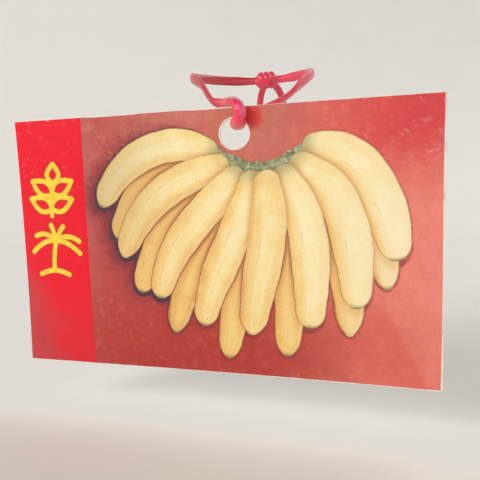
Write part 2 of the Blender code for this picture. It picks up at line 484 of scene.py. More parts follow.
@dataclass(frozen=True)
class PictureGround:
    """The picture's red ground: dull red at the foot, salmon to the right partly as painted glare, browner
    above the fruit.
    """

    dull: Colour = linear(190, 68, 60)
    foot: Colour = linear(176, 50, 40)
    salmon: Colour = linear(240, 134, 118)
    crimson: Colour = linear(218, 64, 66)
    earthy: Colour = linear(202, 116, 98)
    seam: Colour = linear(190, 104, 94)
    rose: Colour = linear(206, 72, 80)
    shadow: Colour = linear(84, 40, 60)
    brown: Colour = linear(96, 40, 32)
    dusk: Colour = linear(140, 44, 52)
    # A painted red shadow of the tie beside the hole, as if the light came through its plastic.
    painted_tie_shadow: Colour = linear(224, 22, 26)
    ochre: Colour = linear(204, 112, 66)
    # The colour named folded is a painted glare at the lower right, lighter than the ground, not a crease.
    folded: Colour = linear(216, 82, 74)
    ochre_at: Pair = (3.6, 24.8)
    tie_shadow_at: Pair = (9.9, 25.0)
    # Where the painted glare's diagonal edge passes, and which way it runs.
    glare_at: Pair = (36.0, -13.9)
    glare_way: Pair = (0.89, 0.46)

    def material(self) -> bpy.types.Material:
        """The material: the worn print with its painted glare and the tie's painted red shadow, the hand's
        painted shadow over it, and mottle over both.
        """
        shader = Shader("picture_ground", **PRINT)
        place, across, up = shader.card_place()
        shade = shader.value("shade")
        shade = shade + (shader.noise(place, 1.1, 3, 6) - 0.5) * shade.step(0.0, 0.3) * 0.5
        colour = shader.layered(
            self.printed(shader, place, across, up),
            (shade.step(0.03, 0.5) * 0.9, self.dusk),
            (shade.step(0.35, 0.95), shader.mix(across.step(-6, 16), self.shadow, self.brown)),
        )
        mottle = shader.noise(place, 1.6, 4, 8) * 0.22 + shader.noise(place, 0.24, 2, 1) * 0.12 + 0.83
        return Glaze().over(shader, shader.tinted(colour, mottle))

    def printed(self, shader: Shader, place: Socket, across: Socket, up: Socket) -> Socket:
        """The ground without the hand's shadow.

        Broad gradients wander with a slow noise; the salmon to the right is partly painted glare. The seam
        lies beside the band, the blots of rose and salmon everywhere, a painted glare at the lower right, and
        beside the hole a patch of ochre and a painted red shadow of the tie.

        Args:
            shader: The print's shader.
            place: The place on the card.
            across: Its x.
            up: Its z.

        Returns:
            The colour.
        """
        drift = (shader.noise(place, 0.07, 2, 3) - 0.5) * 22
        right = across + drift - up.step(-4, -20) * 9
        near = across + drift * 0.3
        beside = (across + drift * 0.25).step(-22.4, -28.6) * (up.step(-24, 14) * 0.65 + 0.1)
        blot = shader.noise(place, 0.55, 5, 14)
        # fold measures across the painted glare's diagonal edge at the lower right.
        fold = (across - self.glare_at[0]) * self.glare_way[0] + (up - self.glare_at[1]) * self.glare_way[1]
        return shader.layered(
            self.dull,
            ((up + drift).step(6, -24), self.foot),
            # Salmon towards the right: print, and partly a painted glare.
            (right.step(-4, 44), self.salmon),
            ((up + drift * 0.5).step(8, 22) * across.step(10, 40), self.crimson),
            (near.step(-31, -8) * near.step(26, 10) * up.step(9, 20) * 0.95, self.earthy),
            (beside, self.seam),
            (blot.step(0.36, 0.76) * (across.step(30, -10) * 0.2 + 0.2), self.rose),
            (blot.step(0.5, 0.28) * 0.2, self.salmon),
            # The painted glare at the lower right, lighter on one side of a diagonal.
            (fold.step(0.8, -0.8) * fold.step(-16, -1) * up.step(-8, -16) * 0.55, self.folded),
            (spot(across, up, self.ochre_at, (0.5, 1.0), (7, 1)) * 0.4, self.ochre),
            # The tie's painted red shadow beside the hole.
            (spot(across, up, self.tie_shadow_at, (1.0, 0.7), (6.5, 0.5)) * 0.8, self.painted_tie_shadow),
        )


@dataclass(frozen=True)
class BandInk:
    """The bright red band, duller and pinker at its lower outer corner."""

    red: Colour = linear(243, 3, 40)
    pale: Colour = linear(208, 66, 70)

    def material(self) -> bpy.types.Material:
        """The material: one strong ink with a slight drift, rubbed at the foot."""
        shader = Shader("band_ink", Coat_Weight=0.15, Coat_Roughness=0.12, Specular_IOR_Level=0.28)
        place, across, up = shader.card_place()
        drift = (shader.noise(place, 0.09, 2, 13) - 0.5) * 16
        worn = (up * 0.5 + across * 1.1 + drift).step(-46, -58)
        low = up.step(-4, -28)
        colour = shader.mix(worn.most(low * 0.3), self.red, self.pale)
        mottle = shader.noise(place, 0.9, 4, 18) * 0.12 - low * 0.07 + 0.93
        return Glaze(scuff_share=0.3).over(shader, shader.tinted(colour, mottle))


@dataclass(frozen=True)
class MarkInk:
    """The ink of the round-ended strokes on the band, or of the darker rim round them."""

    name: str
    bright: Colour
    deep: Colour

    def material(self) -> bpy.types.Material:
        """The material: two close tones mixed by soft noise."""
        shader = Shader(self.name, Coat_Weight=0.25, Coat_Roughness=0.12)
        place, _, _ = shader.card_place()
        colour = shader.mix(shader.noise(place, 0.8, 3, 15).step(0.35, 0.7), self.bright, self.deep)
        return Glaze().over(shader, colour, 0.5)


@dataclass(frozen=True)
class FruitInk:
    """The painted skin of a banana: cream in the light, ochre to its sides, with a thin brown outline."""

    name: str
    tones: tuple[tuple[float, Colour], ...]
    outline: Colour = linear(134, 72, 38)
    deep: Colour = linear(160, 84, 54)
    green: Colour = linear(142, 140, 88)
    moss: Colour = linear(92, 92, 58)
    grey: Colour = linear(192, 164, 114)
    orange: Colour = linear(226, 164, 90)
    pale: Colour = linear(253, 238, 200)
    blush: Colour = linear(250, 220, 182)

    def material(self) -> bpy.types.Material:
        """The material, from the mesh's values along, across, edge, lit, shade and tone.

        The level that picks the skin's tone is the light on it, broken by long streaks, clouds and grain.

        Returns:
            The finished material.
        """
        shader = Shader(self.name, **PRINT)
        place, across, up = shader.card_place()
        along, side, edge = (shader.value(name) for name in ("along", "across", "edge"))
        lit, tone, shade = (shader.value(name) for name in ("lit", "tone", "shade"))
        span = shader.node("ShaderNodeCombineXYZ", {}, {0: along * 9, 1: side * 7, 2: tone * 40})
        streak = shader.noise(span, (0.35, 1.0, 1.0), 4, 3)
        cloud = shader.noise(place, 0.3, 4, 12)
        grain = shader.noise(place, 1.7, 4, 17)
        level = lit + (streak - 0.5) * 0.4 + (cloud - 0.5) * 0.6 + (grain - 0.5) * 0.45 + (tone - 0.5) * 0.16
        level = level + up * 0.007 - across.step(10, -8) * up.step(16, 0) * 0.2 - up.step(2, 18) * 0.13 - 0.04
        bright = across.step(12, 38) * up.step(-30, -4) * (0.65 - up.step(4, 16) * 0.4)
        ridge = abs(side + 0.3 + (streak - 0.5) * 0.24).step(0.09, 0.0)
        ends = (along + (grain - 0.5) * 0.02).step(0.966, 0.998).most(along.step(0.12, 0.0) * 0.8)
        unripe = tone.step(0.1, 0.9) * 0.8 + 0.2
        rim = (edge + (grain - 0.5) * 0.16).step(0.25, 0.05)
        colour = shader.layered(
            shader.ramp(level, self.tones),
            (across.step(-4, -26) * up.step(-16, 14) * 0.55, self.grey),
            (bright * lit.step(0.3, 0.8), self.pale),
            (ridge * along.step(0.12, 0.4) * cloud.step(0.45, 0.6) * 0.3, self.orange),
            (shade.step(0.0, 0.7) * 0.75, self.orange),
            (shade.step(0.5, 1.0) * 0.7, self.deep),
            (edge.step(0.15, 0.4) * edge.step(0.95, 0.5) * (side * 0.5 + 0.4) * 0.45, self.blush),
            (ends * (streak + 0.3) * unripe, self.green),
            (along.step(0.984, 0.997) * 0.6 * unripe, self.moss),
            (shader.noise(place, 1.5, 1, 31).step(0.74, 0.78) * 0.35, self.outline),
            (rim * (cloud * 0.7 + 0.5 - across.step(10, 34) * 0.3), self.outline),
        )
        return Glaze().over(shader, colour, 0.25)


@dataclass(frozen=True)
class CrownInk:
    """The grey-green crown that the fruit hang from."""

    pale: Colour = linear(186, 192, 156)
    middle: Colour = linear(146, 150, 112)
    dark: Colour = linear(98, 96, 68)

    def material(self) -> bpy.types.Material:
        """The material: fibrous grey-green flakes, each of its own tone, with soft darker sides."""
        shader = Shader("crown_ink", **PRINT)
        place, _, _ = shader.card_place()
        level = shader.value("tone") * 0.7 + shader.noise(place, 1.3, 4, 5) * 1.2 - 0.4
        level = level - shader.value("edge").step(0.16, 0.0) * 0.18
        colour = shader.ramp(level, ((0.0, self.dark), (0.5, self.middle), (1.0, self.pale)))
        return Glaze().over(shader, colour, 0.3)


@dataclass(frozen=True)
class CutPlastic:
    """The card's bare white core, seen at its cut edges and round the hole."""

    white: Colour = linear(246, 240, 232)
    soiled: Colour = linear(206, 184, 168)
    pink: Colour = linear(240, 206, 198)

    def material(self) -> bpy.types.Material:
        """The material: matt white with soiling, pinker where ink has bled into it."""
        shader = Shader("cut_plastic")
        place, across, up = shader.card_place()
        dirt = shader.noise(place, 0.5, 4, 19).step(0.45, 0.75) * 0.6
        bled = across.step(6, 16) * up.step(20, 26) * 0.8 + shader.noise(place, 0.3, 2, 8) * 0.3
        colour = shader.layered(self.white, (dirt, self.soiled), (bled, self.pink))
        grain = shader.noise(place, 3.0, 3, 2)
        return shader.finish(Base_Color=colour, Roughness=grain * 0.2 + 0.5, Normal=shader.bump(grain, 0.03))


@dataclass(frozen=True)
class PlainBack:
    """The plain off-white back under the same clear film, with dust and handling marks."""

    white: Colour = linear(234, 230, 220)
    dust: Colour = linear(198, 186, 166)
    soil: Colour = linear(172, 154, 130)
    speck: Colour = linear(120, 96, 76)

    def material(self) -> bpy.types.Material:
        """The material: off-white, dustier towards the foot, soiled at the rim and hole, with fine marks."""
        shader = Shader("plain_back", Coat_Weight=0.35, Coat_Roughness=0.15)
        place, across, up = shader.card_place()
        film = shader.noise(place, 0.2, 6, 23)
        dusty = (film + up * -0.004).step(0.4, 1.0) * 0.3
        rubs = Glaze.rubs(shader, place, 14, 25).most(Glaze.rubs(shader, place, -62, 29))
        rubs = rubs * shader.noise(place, 0.12, 1, 33).step(0.48, 0.62) * 0.5
        rim = abs(across).step(42.4, 45.4).most(abs(up).step(24.8, 27.4))
        rim = rim.most(spot(across, up, CardPlan.hole, (1.0, 1.0), (19, 9)))
        colour = shader.layered(
            self.white,
            (dusty.most(rubs), self.dust),
            (rim * (shader.noise(place, 0.35, 4, 3) * 0.8 - 0.15), self.soil),
            (shader.noise(place, 2.2, 1, 27).step(0.74, 0.78) * 0.6, self.speck),
        )
        rough = film * 0.15 + rubs * 0.3 + 0.27
        height = shader.noise(place, 0.06, 1, 2) + film * 0.02
        return shader.finish(Base_Color=colour, Roughness=rough, Normal=shader.bump(height, 0.5))


@dataclass(frozen=True)
class TieVinyl:
    """Soft pink-red plastic: glossy, uneven, a deeper red painted as shade where it is turned away, bloomed
    on its folds.
    """

    pink: Colour = linear(242, 28, 82)
    deep: Colour = linear(190, 6, 18)
    bloom: Colour = linear(248, 128, 156)
    violet: Colour = linear(226, 112, 196)
    rubbed_and_lit: Colour = linear(252, 140, 132)
    rim: Colour = linear(255, 206, 216)
    scatter: Place = (0.8 * MM, 0.25 * MM, 0.25 * MM)

    def material(self) -> bpy.types.Material:
        """The material, from the mesh's values deep (painted shade), fold, sheen (a painted violet
        reflection), worn (lighter pink, partly wear and partly painted light) and pale (a painted rim
        highlight).
        """
        shader = Shader(
            "tie_vinyl",
            Coat_Weight=0.45,
            Coat_Roughness=0.08,
            Subsurface_Weight=0.15,
            Subsurface_Radius=self.scatter,
            Subsurface_Scale=1.0,
        )
        place = shader.place()
        cloud = shader.noise(place, 0.35, 3, 2)
        grain = shader.noise(place, 3.5, 3, 4)
        colour = shader.layered(
            self.pink,
            # Deeper red painted as shade, most on the left strand.
            (shader.value("deep") + (cloud - 0.5) * 0.5, self.deep),
            (shader.value("fold").step(0.5, 1.0) * 0.35 * cloud, self.bloom),
            # A painted violet reflection along the hook's right flank.
            (shader.value("sheen") * (cloud * 0.8 + 0.1), self.violet),
            # Lighter pink on the hook's left part and foot: wear, and at the foot painted light where it lies
            # in shade.
            (shader.value("worn") * (grain * 0.5 + 0.3), self.rubbed_and_lit),
            # A painted pale highlight along the hook's outer rim.
            (shader.value("pale") * (cloud * 0.6 + 0.35), self.rim),
        )
        rough = cloud * 0.12 + grain * 0.1 + 0.22
        return shader.finish(Base_Color=colour, Roughness=rough, Normal=shader.bump(grain, 0.09))


@dataclass(frozen=True)
class StudioPaper:
    """The plain pale sweep of paper that the label hangs before."""

    pale: Colour = linear(246, 244, 240)
    grey: Colour = linear(240, 238, 234)

    def material(self) -> bpy.types.Material:
        """The material: two close pale tones."""
        shader = Shader("studio_paper", Roughness=0.85)
        place, _, _ = shader.card_place()
        return shader.finish(Base_Color=shader.mix(shader.noise(place, 0.02, 3), self.pale, self.grey))


# ------------------------------------------------------------------------------------------ the card


@dataclass
class CardPlan:
    """The card's sizes in millimetres, and where a place on it lies in the shared frame.

    The bows say how far the left edge and the foot warp back, from where and over how long a run. The margins
    are the printed skin's at the right, left, top and foot, and punched is its margin round the hole.
    """

    width: float = 90.0
    height: float = 54.4
    core: float = 0.6
    skin: float = 0.1
    corner: float = 0.35
    hole: Pair = (6.1, 22.0)
    hole_radius: float = 3.0
    step: float = 0.4
    left_bow: float = 0.42
    left_from: float = -20.0
    left_run: float = 25.0
    foot_bow: float = 0.6
    foot_from: float = -8.0
    foot_run: float = 19.0
    still: float = 14.0
    margins: tuple[float, float, float, float] = (0.36, 0.08, 0.12, 0.15)
    punched: float = 0.26
    band_edge: float = -28.2
    origin = (-5.1, -17.5, -37.4)

    @property
    def front(self) -> float:
        """The depth of the printed face."""
        return -(self.core / 2 + self.skin)

    def settle(self, x: Array, z: Array) -> Array:
        """How far the card has warped to the back.

        The left edge bows back at mid height by a parabola, the foot by another, and both fade to nothing
        near the hole, where the tie runs close.

        Args:
            x: To the right of the card's middle.
            z: Above the card's middle.

        Returns:
            The distance to the back at each place.
        """
        left = self.left_bow * (np.clip(self.left_from - x, 0, None) / self.left_run) ** 2
        foot = self.foot_bow * (np.clip(self.foot_from - z, 0, None) / self.foot_run) ** 2
        level = 1 - (2 * z / self.height) ** 2
        aside = np.clip(1 - ((x - 4) / 44) ** 2, -0.2, 1)
        near = np.hypot(x - self.hole[0], z - self.hole[1])
        return (left * level + foot * aside) * (1 - np.exp(-((near / self.still) ** 2)))

    def placed(self, x: Array, z: Array, depth: Array | float) -> Array:
        """Places on the card, in the shared frame.

        Args:
            x: To the right of the card's middle.
            z: Above the card's middle.
            depth: Behind the card's middle plane before the warp.

        Returns:
            Points with one more axis, of three.
        """
        x, z, depth = np.broadcast_arrays(x, z, depth)
        return np.stack([x, depth + self.settle(x, z), z], -1) + np.array(self.origin)

    def rim(self) -> tuple[Array, Array]:
        """The outline, a rectangle with rounded corners, and its outward directions, anticlockwise."""
        middles = np.array([(1, 1), (-1, 1), (-1, -1), (1, -1), (1, 1)])
        middles = middles * (np.array([self.width, self.height]) / 2 - self.corner)
        points, outward = [], []
        for turn, (here, ahead) in enumerate(zip(middles, middles[1:])):
            angle = np.linspace(0, math.pi / 2, 9) + turn * math.pi / 2
            bend = np.stack([np.cos(angle), np.sin(angle)], -1)
            points.append(here + self.corner * bend)
            outward.append(bend)
            side = self.height if turn % 2 else self.width
            along = np.linspace(0, 1, int(side / self.step))[1:-1, None]
            points.append(points[-1][-1] * (1 - along) + (ahead + self.corner * bend[-1]) * along)
            outward.append(np.repeat(bend[-1:], len(along), 0))
        return np.vstack(points), np.vstack(outward)

    def margin(self, rim: Array, outward: Array) -> Array:
        """How far the printed skin stops short of the outline: a width for each side, worn unevenly."""
        right, left = np.clip(outward[:, 0], 0, 1) ** 2, np.clip(-outward[:, 0], 0, 1) ** 2
        top, foot = np.clip(outward[:, 1], 0, 1) ** 2, np.clip(-outward[:, 1], 0, 1) ** 2
        x, z = rim.T
        chipped = smooth(-28, -25, x) * smooth(-14, -17, x) + smooth(-5, -2, x) * smooth(9, 5, x)
        at_right, at_left, at_top, at_foot = self.margins
        wide = right * (at_right + 0.05 * np.sin(z / 7)) + left * at_left
        wide = wide + top * (at_top + 0.14 * chipped) + foot * (at_foot + 0.08 * smooth(-30, 20, x))
        turn = np.linspace(0, TURN, len(rim), endpoint=False)
        ragged = 0.02 * ripple(turn, 3, (31, 57, 83, 121)) + 0.025 * ripple(turn, 4, (171, 233, 301), 0.1)
        return np.clip(wide + ragged, 0.03, None)

    def punched_margin(self, angle: Array) -> Array:
        """How far the printed skin stops short of the hole, wider at its upper left."""
        ragged = 0.04 * ripple(angle, 8, (5, 9, 14, 23))
        return self.punched + 0.08 * np.cos(angle - math.radians(140)) + ragged

    def pierced(self, rings: Sequence[tuple[float, Any, Any, float]]) -> tuple[Surface, Array, Array]:
        """A sheet with a hole, as rings from the hole out over the front, round the rim and in over the back.

        A ring's point is the hole's point times 1 - share plus the outline's point times share, both seen in
        one direction from the hole's middle.

        Args:
            rings: For each ring the share, the hole's growth, the outline's inset, and the depth.

        Returns:
            The surface, and its points' x and z on the card, as (rings, columns).
        """
        rim, outward = self.rim()
        middle = np.array(self.hole)
        away = unit(rim - middle)
        xz = [
            (middle + away * (self.hole_radius + np.asarray(grow))[..., None]) * (1 - share)
            + (rim - outward * np.asarray(inset)[..., None]) * share
            for share, grow, inset, _ in rings
        ]
        x, z = np.moveaxis(np.array(xz), -1, 0)
        depth = np.array([ring[3] for ring in rings])[:, None]
        return Surface.grid(self.placed(x, z, depth), ended=True), x, z

    def angles(self) -> Array:
        """Each rim point's direction from the hole."""
        away = self.rim()[0] - np.array(self.hole)
        return np.arctan2(away[:, 1], away[:, 0])


class Side(Enum):
    """Which face of the core a skin lies on."""

    FRONT = -1
    BACK = 1


@dataclass
class CardStock:
    """The white core, the printed front skin and the plain back skin."""

    plan: CardPlan
    core_rings: int = 14
    print_rings: int = 92
    back_rings: int = 14
    edge: float = 0.06
    burr: float = 0.035
    soft: float = 0.02
    back_margins: Pair = (0.12, 0.2)
    fine: float = 0.24
    close_top: float = 26.3
    close_foot: float = -24.5
    notch: float = 8.5
    proud: float = 0.002
    close_thick: float = 0.012

    def build(self, hand: FruitHand) -> None:
        """Makes the three sheets, and the finer one behind the hand of fruit."""
        core = self.core_surface().build("card_body", "label", "card_white", CutPlastic().material())
        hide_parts("card_core")
        red = PictureGround().material()
        ground = self.skin_surface(Side.FRONT, self.print_rings, hand)
        front = ground.build("picture_ground", "label", "front_print", red)
        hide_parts("front_skin")
        self.close_ground(hand).build("hand_ground", "label", "front_print", red)
        plain = self.skin_surface(Side.BACK, self.back_rings, None)
        back = plain.build("plain_back", "label", "back_gloss", PlainBack().material())
        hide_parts("back_skin")

    def core_surface(self) -> Surface:
        """The core: flat faces, small rounded edges, and a cut wall that swells and wanders a little."""
        half = self.plan.core / 2
        turn = np.linspace(0, TURN, len(self.plan.angles()), endpoint=False)
        swell = self.burr * ripple(turn, 5, (37, 71, 113, 187))
        share = np.linspace(0, 1, self.core_rings)
        eased, below = swell * 0.5 + 0.012, half - self.edge
        front = [(s, self.edge, self.edge, -half) for s in share]
        wall = [(1.0, 0.0, inset, depth) for inset, depth in ((eased, -below), (swell, 0.0), (eased, below))]
        back = [(s, self.edge, self.edge, half) for s in share[::-1]]
        inner = [(0.0, grow, 0.0, depth) for grow, depth in ((0.0, below), (0.015, 0.0), (0.0, -below))]
        return self.plan.pierced(front + wall + back + inner)[0]

    def close_ground(self, hand: FruitHand) -> Surface:
        """The ground again behind the hand, fine enough for its painted outline, as a thin even grid.

        Its top side dips in a smooth notch that stays clear of the hole.

        Args:
            hand: The fruit that shade it.

        Returns:
            The surface, with a value of shade.
        """
        plan = self.plan
        x = np.arange(plan.band_edge + 0.4, plan.width / 2 - 0.9, self.fine)[:, None]
        top = self.close_top - self.notch * smooth(6.6, 4.4, np.abs(x - plan.hole[0]))
        down = np.linspace(0, 1, int(50 / self.fine))
        under = np.repeat([0, 1], [len(down), len(down[::-4])])
        down = np.concatenate([down, down[::-4]])
        z = top * (1 - down) + self.close_foot * down
        surface = Surface.tube(plan.placed(x, z, plan.front - self.proud + self.close_thick * under))
        return surface.with_rows(shade=hand.cast(np.broadcast_to(x, z.shape), z))

    def skin_surface(self, side: Side, count: int, hand: FruitHand | None) -> Surface:
        """A skin: a thin sheet on the core, set in from the outline and the hole by the worn margins.

        Args:
            side: The face that it lies on.
            count: How many rings its outer face has.
            hand: The fruit that shade it, if any.

        Returns:
            The surface, with a value of shade.
        """
        rim, outward = self.plan.rim()
        inset, grow = (np.full(len(rim), wide) for wide in self.back_margins)
        if side is Side.FRONT:
            inset, grow = self.plan.margin(rim, outward), self.plan.punched_margin(self.plan.angles())
        low = side.value * self.plan.core / 2
        high = low + side.value * self.plan.skin
        eased = high - side.value * self.soft
        outer = [(s, grow + self.soft, inset + self.soft, high) for s in np.linspace(0, 1, count)]
        wall = [(1.0, grow, inset, eased), (1.0, grow, inset, low)]
        under = [(s, grow, inset, low) for s in np.linspace(1, 0, 8)]
        inner = [(0.0, grow, inset, eased)]
        surface, x, z = self.plan.pierced(outer + wall + under[1:] + inner)
        if hand:
            surface.with_rows(shade=hand.cast(x, z))
        return surface


# ---------------------------------------------------------------------------------- the printed motifs


@dataclass
class Film:
    """A thin shape of ink on the card's printed face, from a line and half widths."""

    plan: CardPlan
    line: Array
    half: Array
    top: float
    columns: int
    sunk: float = 0.01

    def surface(self, **constants: float) -> Surface:
        """The film.

        Across the line its place is the half width times a number from -1 to 1. Its face stands at the film's
        top over the skin, and its under side lies just inside the skin.

        Args:
            constants: Values that are the same over the whole film.

        Returns:
            The surface, with those values and along, the share of the length, across, that number, and edge,
            the distance to the side in millimetres.
        """
        front = self.plan.front
        ahead = unit(np.gradient(self.line, axis=0))
        left = np.stack([-ahead[:, 1], ahead[:, 0]], -1)
        across = np.concatenate([np.linspace(-1, 1, self.columns), np.linspace(1, -1, 3)])
        depth = np.concatenate([np.full(self.columns, front - self.top), np.full(3, front + self.sunk)])
        depth[[0, self.columns - 1]] += 0.3 * self.top
        spread = self.half[:, None] * across[None, :]
        xz = self.line[:, None, :] + left[:, None, :] * spread[..., None]
        surface = Surface.tube(self.plan.placed(xz[..., 0], xz[..., 1], depth[None, :]))
        along = run_length(self.line)
        share = np.broadcast_to((along / along[-1])[:, None], spread.shape)
        edge = self.half[:, None] * (1 - np.abs(across))[None, :]
        same = {name: np.full(spread.shape, value) for name, value in constants.items()}
        return surface.with_rows(along=share, across=np.broadcast_to(across, spread.shape), edge=edge, **same)


def rounded_ends(line: Array, half: float, rounding: int = 7) -> tuple[Array, Array]:
    """A stroke with round ends: near each end the half width is the height of a half circle.

    Args:
        line: The stroke's points, evenly spaced.
        half: Half its width.
        rounding: How many points each half circle has.

    Returns:
        The points with the half circles' points at the ends, and the half widths.
    """
    ahead = unit(np.gradient(line, axis=0))
    turn = np.linspace(0, math.pi / 2, rounding, endpoint=False)
    start = line[0] - ahead[0] * half * np.cos(turn)[:, None]
    stop = line[-1] + ahead[-1] * half * np.cos(turn[::-1])[:, None]
    width = half * np.clip(np.sin(turn), 0.04, 1)
    return np.vstack([start, line, stop]), np.concatenate([width, np.full(len(line), half), width[::-1]])


@dataclass(frozen=True)
class Row:
    """A row of bananas. A place in it runs from -1 at its left end to 1 at its right.

    Tips stand on an arc about the hand's middle, which bulges most a little right of the row's own middle.
    Roots stand on the crown, over the spread's share of it. Widths and tapers vary at random; a row may widen
    to its right and be blunter at its left. Layers count upwards from the ground, and the lift is added to
    them. Shade falls off over its reach, and its depth is a share everywhere and another towards the root.
    """

    name: str
    layers: tuple[int, ...]
    lift: int
    aim_deg: float
    fan_deg: float
    reach: float
    bulge: float
    spread: float
    width: float
    widens: float
    varies: float
    tapers: Pair
    blunter: float
    shade_reach: float
    shade_depth: Pair
    tones: tuple[tuple[float, Colour], ...]


REAR = Row(
    name="rear",
    layers=tuple(range(7)),
    lift=1,
    aim_deg=262,
    fan_deg=57,
    reach=33.2,
    bulge=5.2,
    spread=0.86,
    width=6.8,
    widens=0.0,
    varies=0.3,
    tapers=(3.8, 5.2),
    blunter=0.9,
    shade_reach=1.2,
    shade_depth=(0.4, 0.6),
    tones=(
        (0.0, linear(198, 132, 70)),
        (0.3, linear(234, 180, 100)),
        (0.6, linear(246, 204, 122)),
        (1.0, linear(251, 220, 148)),
    ),
)
FRONT = Row(
    name="front",
    layers=(7, 9, 11, 13, 14, 12, 10, 8),
    lift=4,
    aim_deg=260,
    fan_deg=68,
    reach=33.4,
    bulge=0.0,
    spread=1.0,
    width=7.5,
    widens=0.7,
    varies=0.25,
    tapers=(2.9, 4.0),
    blunter=0.0,
    shade_reach=0.75,
    shade_depth=(0.6, 0.0),
    tones=(
        (0.0, linear(208, 146, 80)),
        (0.25, linear(240, 190, 112)),
        (0.5, linear(247, 210, 134)),
        (0.75, linear(252, 226, 158)),
        (1.0, linear(255, 240, 190)),
    ),
)


@dataclass
class Finger:
    """One banana of the hand: a bent, tapering film."""

    row: Row
    root: Array
    tip: Array
    start_deg: float
    end_deg: float
    width: float
    layer: int
    tone: float
    light: float
    taper: float
    neck: float = 1.9
    nub: float = 0.24
    pull: float = 0.4
    bunched: float = 0.35
    points: int = 130

    def line(self) -> Array:
        """A cubic curve from the root to the tip, leaving and arriving at the given directions."""
        reach = float(np.linalg.norm(self.tip - self.root)) * self.pull
        leave, arrive = (math.radians(turn) for turn in (self.start_deg, self.end_deg))
        one = self.root + reach * np.array([math.cos(leave), math.sin(leave)])
        two = self.tip - reach * np.array([math.cos(arrive), math.sin(arrive)])
        t = np.linspace(0, 1, 200)[:, None]
        left = 1 - t
        cubic = left**3 * self.root + 3 * left**2 * t * one + 3 * left * t**2 * two + t**3 * self.tip
        along = run_length(cubic)
        even = np.linspace(0, 1, self.points)
        share = self.bunched * (0.5 - 0.5 * np.cos(math.pi * even)) + (1 - self.bunched) * even
        return np.stack([np.interp(share * along[-1], along, part) for part in cubic.T], -1)

    def half_widths(self, along: Array) -> Array:
        """Half widths by distance along: a narrow rounded neck, a full middle and a blunt tip with a nub."""
        left = along[-1] - along
        share = along / along[-1]
        full = 0.62 + 0.38 * smooth(-0.06, 0.34, share)
        full = full * (1 - 0.26 * smooth(0.6, 0.98, share))
        neck = np.sqrt(np.clip(1 - (1 - np.clip(along / self.neck, 0, 1)) ** 2, 0, 1))
        tip = np.clip(1 - (1 - np.clip(left / self.taper, 0, 1)) ** 1.9, 0, 1)
        tip = tip ** (0.58 + 0.05 * (self.taper - 3))
        nub = self.nub * np.clip(left / 0.16, 0, 1) ** 0.5
        wave = 0.014 * np.sin(share * 19 + self.tone * 40) + 0.01 * np.sin(share * 43 + self.tone * 70)
        full = full * (1 + wave)
        return self.width / 2 * np.maximum(full * neck * tip, np.minimum(nub, full * neck)).clip(0.01, None)

    def away(self, x: Array, z: Array) -> Array:
        """How far places on the card lie outside this banana, or inside it where negative."""
        line = self.line()
        half = self.half_widths(run_length(line))
        every = slice(None, None, 3)
        best = np.full(x.shape, np.inf)
        for (px, pz), wide in zip(line[every], half[every]):
            best = np.minimum(best, np.hypot(x - px, z - pz) - wide)
        return best


